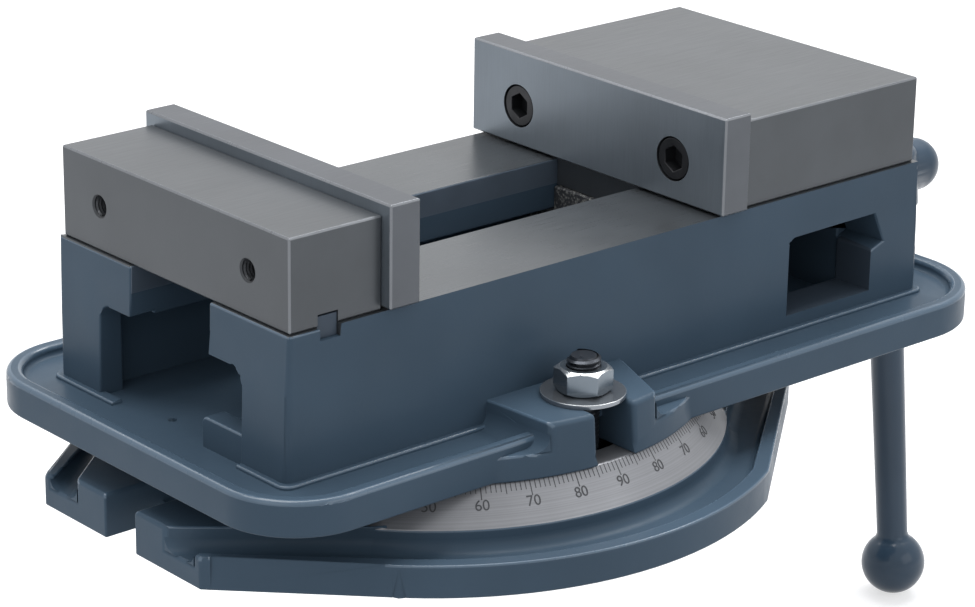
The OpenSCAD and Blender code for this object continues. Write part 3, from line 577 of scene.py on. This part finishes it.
CASTING_EDGE, SMALL_CASTING_EDGE, LUG_EDGE, EAR_EDGE = 0.9, 0.8, 2.2, 1.8
SEAM_TOUCH = 0.1
LUG_HALF_X, LUG_FROM_Y, LUG_FROM_Z, LUG_END_R = 41.0, 79.0, 35.0, 118.0
BED_FOOT_X, BED_FOOT_Y = (-136.0, 221.0), 76.5
EAR_FROM, EAR_FROM_Z = 128.0, 1.0


def in_lug_front(c):
    return (abs(c.x) < LUG_HALF_X and abs(c.y) > LUG_FROM_Y and c.z > LUG_FROM_Z
            and math.hypot(c.x, c.y) < LUG_END_R)


def in_bed_foot(c):
    return c.z > TRAY_Z - SEAM_TOUCH and abs(c.y) < BED_FOOT_Y and within(c.x, BED_FOOT_X)


def in_ear(c):
    return abs(c.x) > EAR_FROM and c.z > EAR_FROM_Z and math.hypot(c.x, c.y) > EAR_FROM


eased("vise_body", "vise_body_casting", "vise", CASTING_EDGE,
      [paint, way_steel, cavity_painted_shade, dark_steel, glossy_edge_painted_highlight], body_pick, segments=3,
      cuts=[(WAY_JOINT_Z, lambda c, n: in_slot_wall(c, n) and c.z > WAY_LOW_Z)],
      keep=lambda c: c.z < TRAY_Z + SEAM_TOUCH, gloss=glossy_edge_painted_highlight)
eased("vise_tray", "vise_tray_casting", "vise", CASTING_EDGE, [paint, glossy_edge_painted_highlight],
      tray_pick, segments=3, wide=(LUG_EDGE, in_lug_front), keep=in_bed_foot,
      gloss=glossy_edge_painted_highlight)
eased("swivel_base", "swivel_base_casting", "base", CASTING_EDGE,
      [paint, band_steel, glossy_edge_painted_highlight], base_pick, segments=3, wide=(EAR_EDGE, in_ear),
      gloss=glossy_edge_painted_highlight)
eased("crank_handle", "crank_casting", "crank", SMALL_CASTING_EDGE,
      [crank_paint], segments=3)
eased("screw_nut", "screw_nut_casting", "jaw", SMALL_CASTING_EDGE, [cast_iron])


# Concave fillets of the castings, which reach a little into the solids that they join

SKIN = 0.05
FILLET_STEPS = 8
RING_STEP = 3
FILLET_ANGLE = 40
LUG_FILLET, RIM_FOOT_FILLET, DECK_RIM_FILLET, DECK_FILLET = 6.5, 2.4, 3.8, 5.5

# X of each side of a lug at the wall and at its front, and the way it faces
LUG_SIDES = ((-34.0, -31.0, -1), (39.5, 23.0, 1))
LUG_INSET = 0.2
LUG_SOLVE_STEPS = 6

# Middle and radius of each corner of the tray's rim, and its first angle
TRAY_CORNERS = ((205.5, 60.1, 37.0, 0), (-124.5, 69.1, 28.0, 90),
                (-124.5, -69.1, 28.0, 180), (205.5, -60.1, 37.0, 270))
CORNER_STEP, CORNER_POINTS = 5, 19

# Each ear's end, its width, and the angle at which its lower side leaves the rim
EARS = ((-1, 112.0, 31.0), (1, 123.0, 61.0))
EAR_CUT, EAR_GAP = 3.0, 0.1


def fillet_section(radius):
    arc = [math.pi / 2 * i / FILLET_STEPS for i in range(FILLET_STEPS + 1)]
    return [(0.0, 0.0)] + [(radius * (1 - math.sin(a)), radius * (1 - math.cos(a))) for a in arc]


def bar(bm, rows, closed=False):
    """Adds a bar through rows of points in mm, each of which is one section."""
    rows = [[bm.verts.new(Vector(p) * MM) for p in row] for row in rows]
    count = len(rows[0])
    for a, b in zip(rows, rows[1:] + rows[:1] if closed else rows[1:]):
        for i in range(count):
            j = (i + 1) % count
            bm.faces.new((a[i], a[j], b[j], b[i]))
    if not closed:
        bm.faces.new(rows[0])
        bm.faces.new(list(reversed(rows[-1])))


def ring_fillet(bm, radius, size, out, z, start, stop):
    """A fillet round the axis, on the outer side of a wall where out is 1, else on its inner."""
    steps = int((stop - start) / RING_STEP) + 1
    closed = stop - start == 360
    angles = [math.radians(start + (stop - start) * i / steps)
              for i in range(steps if closed else steps + 1)]
    bar(bm, [[((radius + out * u) * math.cos(a), (radius + out * u) * math.sin(a), z + v)
              for u, v in fillet_section(size)] for a in angles], closed)


def side_fillet(bm, points, size, away, z, end):
    """A fillet along points, whose sections lie square to X and point to +Y or -Y by away."""
    (x0, y0), (x1, y1) = points[:2]
    stretch = math.hypot(x1 - x0, y1 - y0) / abs(x1 - x0)
    bar(bm, [[(end * x, end * (y + away * u * stretch), z + v) for u, v in fillet_section(size)]
             for x, y in points])


def tangent_point(r, x, y):
    """Where the line from a point touches a circle round the axis."""
    turn = math.atan2(y, x) + math.acos(r / math.hypot(x, y))
    return r * math.cos(turn), r * math.sin(turn)


def lug_fillet(bm, s, foot, front, out):
    """The fillet between the tray and one side of a lug, from the wall to the lug's front."""
    rows = [[], []]
    for u, v in fillet_section(LUG_FILLET):
        z = TRAY_Z - SKIN + v
        r = LUG_R - LUG_INSET - LUG_DRAFT * (z - BASE_H) / (LUG_Z - BASE_H)
        y = r
        for _ in range(LUG_SOLVE_STEPS):
            x = front + (foot - front) * (LUG_R - y) / (LUG_R - WALL_Y) + out * u
            y = math.sqrt(r * r - x * x)
        rows[0].append((foot + out * u, s * WALL_Y, z))
        rows[1].append((x, s * y, z))
    bar(bm, rows)


def corner_rows(x, y, r, first):
    """Sections of the rim's foot fillet round one corner of the tray."""
    for i in range(CORNER_POINTS):
        a = math.radians(first + CORNER_STEP * i)
        yield [(x + math.cos(a) * (r - u), y + math.sin(a) * (r - u), TRAY_Z - SKIN + v)
               for u, v in fillet_section(RIM_FOOT_FILLET)]


def ear_fillets(bm, end, ear_w, low, z):
    """The fillets inside one ear, and the angle at which its upper side leaves the rim."""
    half = ear_w / 2 - EAR_RIM
    tip = [(EAR_X - EAR_CUT, half), (EAR_X - EAR_GAP, half)]
    upper = tangent_point(RIM_IN_R, EAR_X, half)
    lower = (RIM_IN_R * math.cos(math.radians(low)), -RIM_IN_R * math.sin(math.radians(low)))
    side_fillet(bm, [upper] + tip, DECK_RIM_FILLET, -1, z, end)
    side_fillet(bm, [lower] + [(x, -y) for x, y in tip], DECK_RIM_FILLET, 1, z, end)
    px, py = tangent_point(PAD_R, EAR_X, PAD_HALF)
    for side in (-1, 1):
        side_fillet(bm, [(px, side * py), (EAR_X - EAR_GAP, side * PAD_HALF)], DECK_FILLET, side,
                    z, end)
    return math.degrees(math.atan2(upper[1], upper[0]))


bm = bmesh.new()
for s in (-1, 1):
    for foot, front, out in LUG_SIDES:
        lug_fillet(bm, s, foot, front, out)
piece("lug_fillets", bm, "vise", [paint], FILLET_ANGLE)

bm = bmesh.new()
bar(bm, [row for corner in TRAY_CORNERS for row in corner_rows(*corner)], closed=True)
piece("rim_fillet", bm, "vise", [paint], FILLET_ANGLE)

bm = bmesh.new()
deck = DECK_Z - SKIN
ring_fillet(bm, BAND_FOOT_R, DECK_FILLET, 1, deck, 0, 360)
highs = {end: ear_fillets(bm, end, ear_w, low, deck) for end, ear_w, low in EARS}
lows = {end: low for end, ear_w, low in EARS}
ring_fillet(bm, RIM_IN_R, DECK_RIM_FILLET, -1, deck, highs[1], 180 - lows[-1])
ring_fillet(bm, RIM_IN_R, DECK_RIM_FILLET, -1, deck, 180 + highs[-1], 360 - lows[1])
piece("base_fillets", bm, "base", [paint], FILLET_ANGLE)


# Ground blocks, clamp hardware and cap screws

BLOCK_EDGE, WASHER_EDGE, NUT_EDGE, CAP_SCREW_EDGE = 0.12, 0.3, 0.2, 0.35

for node, name, body, slot, mat, pick in (
        ("fixed_jaw", "fixed_jaw_block", "vise", "ground_steel", jaw_steel, block_pick),
        ("movable_jaw", "movable_jaw_block", "jaw", "ground_steel", jaw_steel, block_pick),
        ("fixed_plate", "fixed_jaw_plate", "vise", "plate_steel", plate_steel, plate_pick),
        ("movable_plate", "movable_jaw_plate", "jaw", "plate_steel", plate_steel, plate_pick),
        ("jaw_key", "jaw_key_bar", "vise", "key_steel", key_paint, None)):
    eased(node, name, body, BLOCK_EDGE,
          [mat, chamfer_painted_highlight, hole_painted_shade, plate_x_face_painted_light, plate_top_painted_shade], pick)

# Washer edges that look up and nut chamfers take the much lighter zinc: a painted highlight.
for side in ("near", "far"):
    eased("washer_" + side, "clamp_washer_" + side, f"washer_{side}_body", WASHER_EDGE,
          [bright_zinc, zinc_painted_highlight], gloss=zinc_painted_highlight)
    eased("nut_" + side, "clamp_nut_" + side, f"nut_{side}_body", NUT_EDGE,
          [nut_zinc, zinc_painted_highlight], nut_pick, angle=20)
eased("movable_plate_screws", "movable_plate_socket_screws", "jaw",
      CAP_SCREW_EDGE, [black_steel])
eased("fixed_plate_screws", "fixed_plate_socket_screws", "vise",
      CAP_SCREW_EDGE, [black_steel])


# Clamp studs: T-head, core and thread

STUD_R, STUD_CORE_R, STUD_PITCH, STUD_STEPS = 7.0, 5.9, 2.0, 40
STUD_TOP_Z, STUD_THREAD_Z = 72.0, (30.0, 72.4)
STUD_POINT_L, STUD_POINT_IN = 1.3, 0.7
HEAD_R, HEAD_Z, HEAD_BEVEL = 12.5, (15.0, 24.0), 0.5
HEAD_TOP_L, HEAD_TOP_IN = 0.4, 0.3

stud_profile = [(0, HEAD_Z[0]), (HEAD_R - HEAD_BEVEL, HEAD_Z[0]),
                (HEAD_R, HEAD_Z[0] + HEAD_BEVEL), (HEAD_R, HEAD_Z[1] - HEAD_TOP_L),
                (HEAD_R - HEAD_TOP_IN, HEAD_Z[1]), (STUD_CORE_R, HEAD_Z[1]),
                (STUD_CORE_R, STUD_TOP_Z - STUD_POINT_L),
                (STUD_CORE_R - STUD_POINT_IN, STUD_TOP_Z), (0, STUD_TOP_Z)]
bm = bmesh.new()
for s in (-1, 1):
    m = at(0, s * BOLT_CIRCLE, 0)
    lathe(bm, stud_profile, STUD_STEPS, m)
    thread(bm, m, STUD_R, STUD_CORE_R, STUD_PITCH, *STUD_THREAD_Z, steps=STUD_STEPS)
studs = piece("clamp_studs", bm, "vise", [stud_steel], angle=40)
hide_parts("clamp_bolts")


# Lead screw: trapezoidal thread, shoulder, journal and hexagon

JOURNAL_R, JOURNAL_X = 11.0, 233.6
SHOULDER_R, SHOULDER_L = 19.0, 6.0
BEVEL = 0.4
END_L, END_IN = 1.2, 0.8
THREAD_FROM_END, THREAD_FROM_SHOULDER = 0.6, 1.0
CREST_SHARE, ROOT_SHARE = 0.36, 0.30
HEX_SIDES, HEX_R, HEX_TIP_R, HEX_TIP_L = 6, 9.2376, 8.4, 0.8
SCREW_STEPS, THREAD_STEPS = 64, 48

lo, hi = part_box("lead_screw")
x0, x1 = lo.x / MM, hi.x / MM
screw_profile = [
    (0, x0), (SCREW_CORE_R - END_IN, x0), (SCREW_CORE_R, x0 + END_L), (SCREW_CORE_R, SHOULDER_X),
    (SHOULDER_R - BEVEL, SHOULDER_X), (SHOULDER_R, SHOULDER_X + BEVEL),
    (SHOULDER_R, SHOULDER_X + SHOULDER_L - BEVEL), (SHOULDER_R - BEVEL, SHOULDER_X + SHOULDER_L),
    (JOURNAL_R, SHOULDER_X + SHOULDER_L), (JOURNAL_R, JOURNAL_X - BEVEL),
    (JOURNAL_R - BEVEL, JOURNAL_X), (0, JOURNAL_X)]
bm = bmesh.new()
axis = along_x(0, 0, SCREW_Z)
lathe(bm, screw_profile, SCREW_STEPS, axis)
thread(bm, axis, SCREW_R, SCREW_CORE_R, SCREW_PITCH, x0 + THREAD_FROM_END,
       SHOULDER_X - THREAD_FROM_SHOULDER, THREAD_STEPS, CREST_SHARE, ROOT_SHARE)
rings = [[bm.verts.new(axis @ round_z(r, 2 * math.pi * i / HEX_SIDES, x))
          for i in range(HEX_SIDES)]
         for x, r in ((JOURNAL_X - BEVEL, HEX_R), (x1 - HEX_TIP_L, HEX_R), (x1, HEX_TIP_R))]
for a, b in zip(rings, rings[1:]):
    for i in range(HEX_SIDES):
        j = (i + 1) % HEX_SIDES
        bm.faces.new((a[i], a[j], b[j], b[i]))
bm.faces.new(rings[-1])
screw = piece("lead_screw_threaded", bm, "screw", [screw_steel], angle=35)
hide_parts("lead_screw")


# Thread ridges in the tapped holes of the fixed jaw

TAP_R, TAP_OUT_R, TAP_PITCH, TAP_X, TAP_STEPS = 3.7, 4.24, 1.5, (-131.2, -118.2), 36

bm = bmesh.new()
for s in (-1, 1):
    thread(bm, along_x(0, s * PLATE_SCREW_Y, PLATE_SCREW_Z), TAP_R, TAP_OUT_R, TAP_PITCH, *TAP_X,
           steps=TAP_STEPS)
piece("tapped_threads", bm, "vise", [key_steel], angle=60)


# Dial: division marks and figures on the sloping band

SLOPE = Vector((BAND_TOP_R - BAND_FOOT_R, 0, BASE_H - BAND_FOOT_Z)).normalized()
NORMAL = Vector((SLOPE.z, 0, -SLOPE.x))

# How often each kind of mark comes, in degrees, with its width and length in mm
MARKS = ((10, 0.42, 6.4), (5, 0.36, 4.8), (1, 0.34, 3.8))
MARK_TOP, MARK_HALF_T = 0.35, 0.035
FIGURE_SIZE, FIGURE_ALONG, FIGURE_HALF_T, FIGURE_OFF = 6.2, 9.1, 0.05, 0.02


def on_band(angle, along, off=0.0):
    """Frame on the band: X round the band, Y up the slope, Z outwards; along is mm from its top."""
    p = Vector((BAND_TOP_R, 0, BASE_H)) - SLOPE * along + NORMAL * off
    m = Matrix(((0, SLOPE.x, NORMAL.x, p.x * MM), (1, SLOPE.y, NORMAL.y, p.y * MM),
                (0, SLOPE.z, NORMAL.z, p.z * MM), (0, 0, 0, 1)))
    return Matrix.Rotation(math.radians(angle), 4, "Z") @ m


def slab(bm, m, w, h, t):
    """Adds a flat block that hangs down from the frame's X axis, w wide and h long."""
    v = [bm.verts.new(m @ Vector((x * MM, y * MM, z * MM)))
         for z in (-t, t) for x, y in ((-w / 2, -h), (w / 2, -h), (w / 2, 0), (-w / 2, 0))]
    for q in ((3, 2, 1, 0), (4, 5, 6, 7), (0, 1, 5, 4), (1, 2, 6, 5), (2, 3, 7, 6), (3, 0, 4, 7)):
        bm.faces.new([v[i] for i in q])


def figure_mesh(value):
    """A number as a thin solid, centred on the origin."""
    font = bpy.data.curves.new("figure", "FONT")
    font.body = str(value)
    font.size = FIGURE_SIZE * MM
    font.align_x, font.align_y = "CENTER", "CENTER"
    font.extrude = FIGURE_HALF_T * MM
    text = bpy.data.objects.new("figure", font)
    scene.collection.objects.link(text)
    bpy.context.view_layer.update()
    mesh = bpy.data.meshes.new_from_object(
        text.evaluated_get(bpy.context.evaluated_depsgraph_get()))
    bpy.data.objects.remove(text)
    return mesh


bm = bmesh.new()
for deg in range(360):
    w, h = next((width, length) for every, width, length in MARKS if deg % every == 0)
    slab(bm, on_band(deg, MARK_TOP), w, h, MARK_HALF_T)
piece("dial_marks", bm, "base", [ink])

bm = bmesh.new()
for deg in range(0, 360, 10):
    figure = figure_mesh(abs((deg + 90) % 180 - 90))
    figure.transform(on_band(deg, FIGURE_ALONG, FIGURE_OFF))
    bm.from_mesh(figure)
    bpy.data.meshes.remove(figure)
piece("dial_figures", bm, "base", [ink])


# Finishes of the solids that stay as they are

finishes = {"pivot_pin": screw_steel, "fixed_jaw_bolts": black_steel,
            "angle_segment": bearing_steel, "jaw_set_screw": black_steel, "screw_bush": bronze,
            "thrust_race_body": bearing_steel, "thrust_cage": bronze,
            "thrust_needles": bearing_steel, "thrust_race_screw": bearing_steel,
            "bearing_collar": screw_steel, "collar_set_screw": black_steel}
for node, mat in finishes.items():
    NODES[node].data.materials.clear()
    NODES[node].data.materials.append(mat)


# Camera, as solved on the photo's edges, in degrees, millimetres and pixels, its clips in metres

AZ, EL, ROLL = (math.radians(v) for v in (-41.268, 20.160, 0.864))
AIM = Vector((92.1, 0, 105.3))
AIM_RIGHT, AIM_UP, AIM_AWAY = 45.609, 56.551, 1455.274
FOCAL_PIXELS, PHOTO_PIXELS, SENSOR = 3357.96, 975, 36.0
NEAR_CLIP, FAR_CLIP = 0.05, 50.0

back = Vector((math.sin(AZ) * math.cos(EL), -math.cos(AZ) * math.cos(EL), math.sin(EL)))
right = (-back).cross(Vector((0, 0, 1))).normalized()
up = right.cross(-back)
right, up = (math.cos(ROLL) * right + math.sin(ROLL) * up,
             -math.sin(ROLL) * right + math.cos(ROLL) * up)
place = -(right * AIM_RIGHT + up * AIM_UP - back * AIM_AWAY) + AIM
lens = bpy.data.cameras.new("camera")
lens.sensor_width = SENSOR
lens.lens = SENSOR * FOCAL_PIXELS / PHOTO_PIXELS
lens.clip_start, lens.clip_end = NEAR_CLIP, FAR_CLIP
camera = bpy.data.objects.new("camera", lens)
camera.matrix_world = Matrix(((right.x, up.x, back.x, place.x * MM),
                              (right.y, up.y, back.y, place.y * MM),
                              (right.z, up.z, back.z, place.z * MM), (0, 0, 0, 1)))
scene.collection.objects.link(camera)
scene.camera = camera


# Floor, light and background

WHITE = (1, 1, 1)
FLOOR_HALF, FLOOR_DROP, FLOOR_GLOW = 4.0, 0.0005, 0.62
AIM_LOW, AIM_HIGH = (0, 0, 0.05), (0, 0, 0.1)

# Each lamp's name, place, target, size, power in watts and colour
LAMPS = (
    ("top_softbox", (0.0, 0.3, 1.7), (0.03, 0, 0.05), (1.6, 1.2), 34, (1.0, 0.99, 0.98)),
    ("left_softbox", (-1.6, -0.5, 0.9), AIM_LOW, (1.2, 1.0), 2.5, (0.9, 0.97, 1.0)),
    ("front_fill", (0.6, -1.8, 0.8), (0, 0, 0.03), (1.4, 1.0), 6, WHITE),
    ("crank_end_panel", (1.4, 0.1, 1.8), AIM_HIGH, (1.0, 0.5), 18, WHITE),
    ("rear_panel", (1.2, 1.35, 0.8), AIM_HIGH, (1.2, 0.6), 0.9, WHITE),
    ("far_side_panel", (0.1, 1.4, 1.5), AIM_HIGH, (1.0, 0.5), 5, WHITE))


def seen_rays(tree):
    """One for camera, glossy and transmission rays, which see the white backdrop."""
    path = add(tree, "ShaderNodeLightPath")
    first = add(tree, "ShaderNodeMath", operation="MAXIMUM")
    both = add(tree, "ShaderNodeMath", operation="MAXIMUM")
    tree.links.new(path.outputs["Is Camera Ray"], first.inputs[0])
    tree.links.new(path.outputs["Is Glossy Ray"], first.inputs[1])
    tree.links.new(first.outputs[0], both.inputs[0])
    tree.links.new(path.outputs["Is Transmission Ray"], both.inputs[1])
    return both.outputs[0]


def plain_world(name):
    world = bpy.data.worlds.new(name)
    scene.world = world
    world.use_nodes = True
    tree = world.node_tree
    tree.nodes.clear()
    out = add(tree, "ShaderNodeOutputWorld")
    mix = add(tree, "ShaderNodeMixShader")
    light = add(tree, "ShaderNodeBackground", Color=(0.95, 0.97, 1.0, 1), Strength=0.9)
    white = add(tree, "ShaderNodeBackground", Color=(*WHITE, 1), Strength=1.0)
    tree.links.new(seen_rays(tree), mix.inputs[0])
    tree.links.new(light.outputs[0], mix.inputs[1])
    tree.links.new(white.outputs[0], mix.inputs[2])
    tree.links.new(mix.outputs[0], out.inputs["Surface"])


def floor_white(name):
    """A pale floor that shows as white but keeps the shadow of the object."""
    mat, tree, shader = new_material(name, (0.45, 0.45, 0.455), 0.0, 0.9, specular=0.0)
    glow = add(tree, "ShaderNodeEmission", Color=(*WHITE, 1))
    strength = add(tree, "ShaderNodeMath", operation="MULTIPLY")
    strength.inputs[1].default_value = FLOOR_GLOW
    tree.links.new(seen_rays(tree), strength.inputs[0])
    tree.links.new(strength.outputs[0], glow.inputs["Strength"])
    both = add(tree, "ShaderNodeAddShader")
    tree.links.new(shader.outputs[0], both.inputs[0])
    tree.links.new(glow.outputs[0], both.inputs[1])
    tree.links.new(both.outputs[0], tree.nodes["Material Output"].inputs["Surface"])
    return mat


def lamp(name, place, target, size, power, color):
    light = bpy.data.lights.new(name, "AREA")
    light.shape = "RECTANGLE"
    light.size, light.size_y = size
    light.energy = power
    light.color = color
    o = bpy.data.objects.new(name, light)
    o.location = place
    o.rotation_euler = (Vector(target) - Vector(place)).to_track_quat("-Z", "Y").to_euler()
    scene.collection.objects.link(o)


plain_world("studio")

bm = bmesh.new()
bmesh.ops.create_grid(bm, x_segments=2, y_segments=2, size=FLOOR_HALF)
floor_mesh = bpy.data.meshes.new("floor")
bm.to_mesh(floor_mesh)
bm.free()
floor = bpy.data.objects.new("floor", floor_mesh)
floor.location = (0, 0, cad_box[0].z - FLOOR_DROP)
scene.collection.objects.link(floor)
floor_mesh.materials.append(floor_white("floor_white"))

for settings in LAMPS:
    lamp(*settings)

scene.view_settings.view_transform = "Standard"
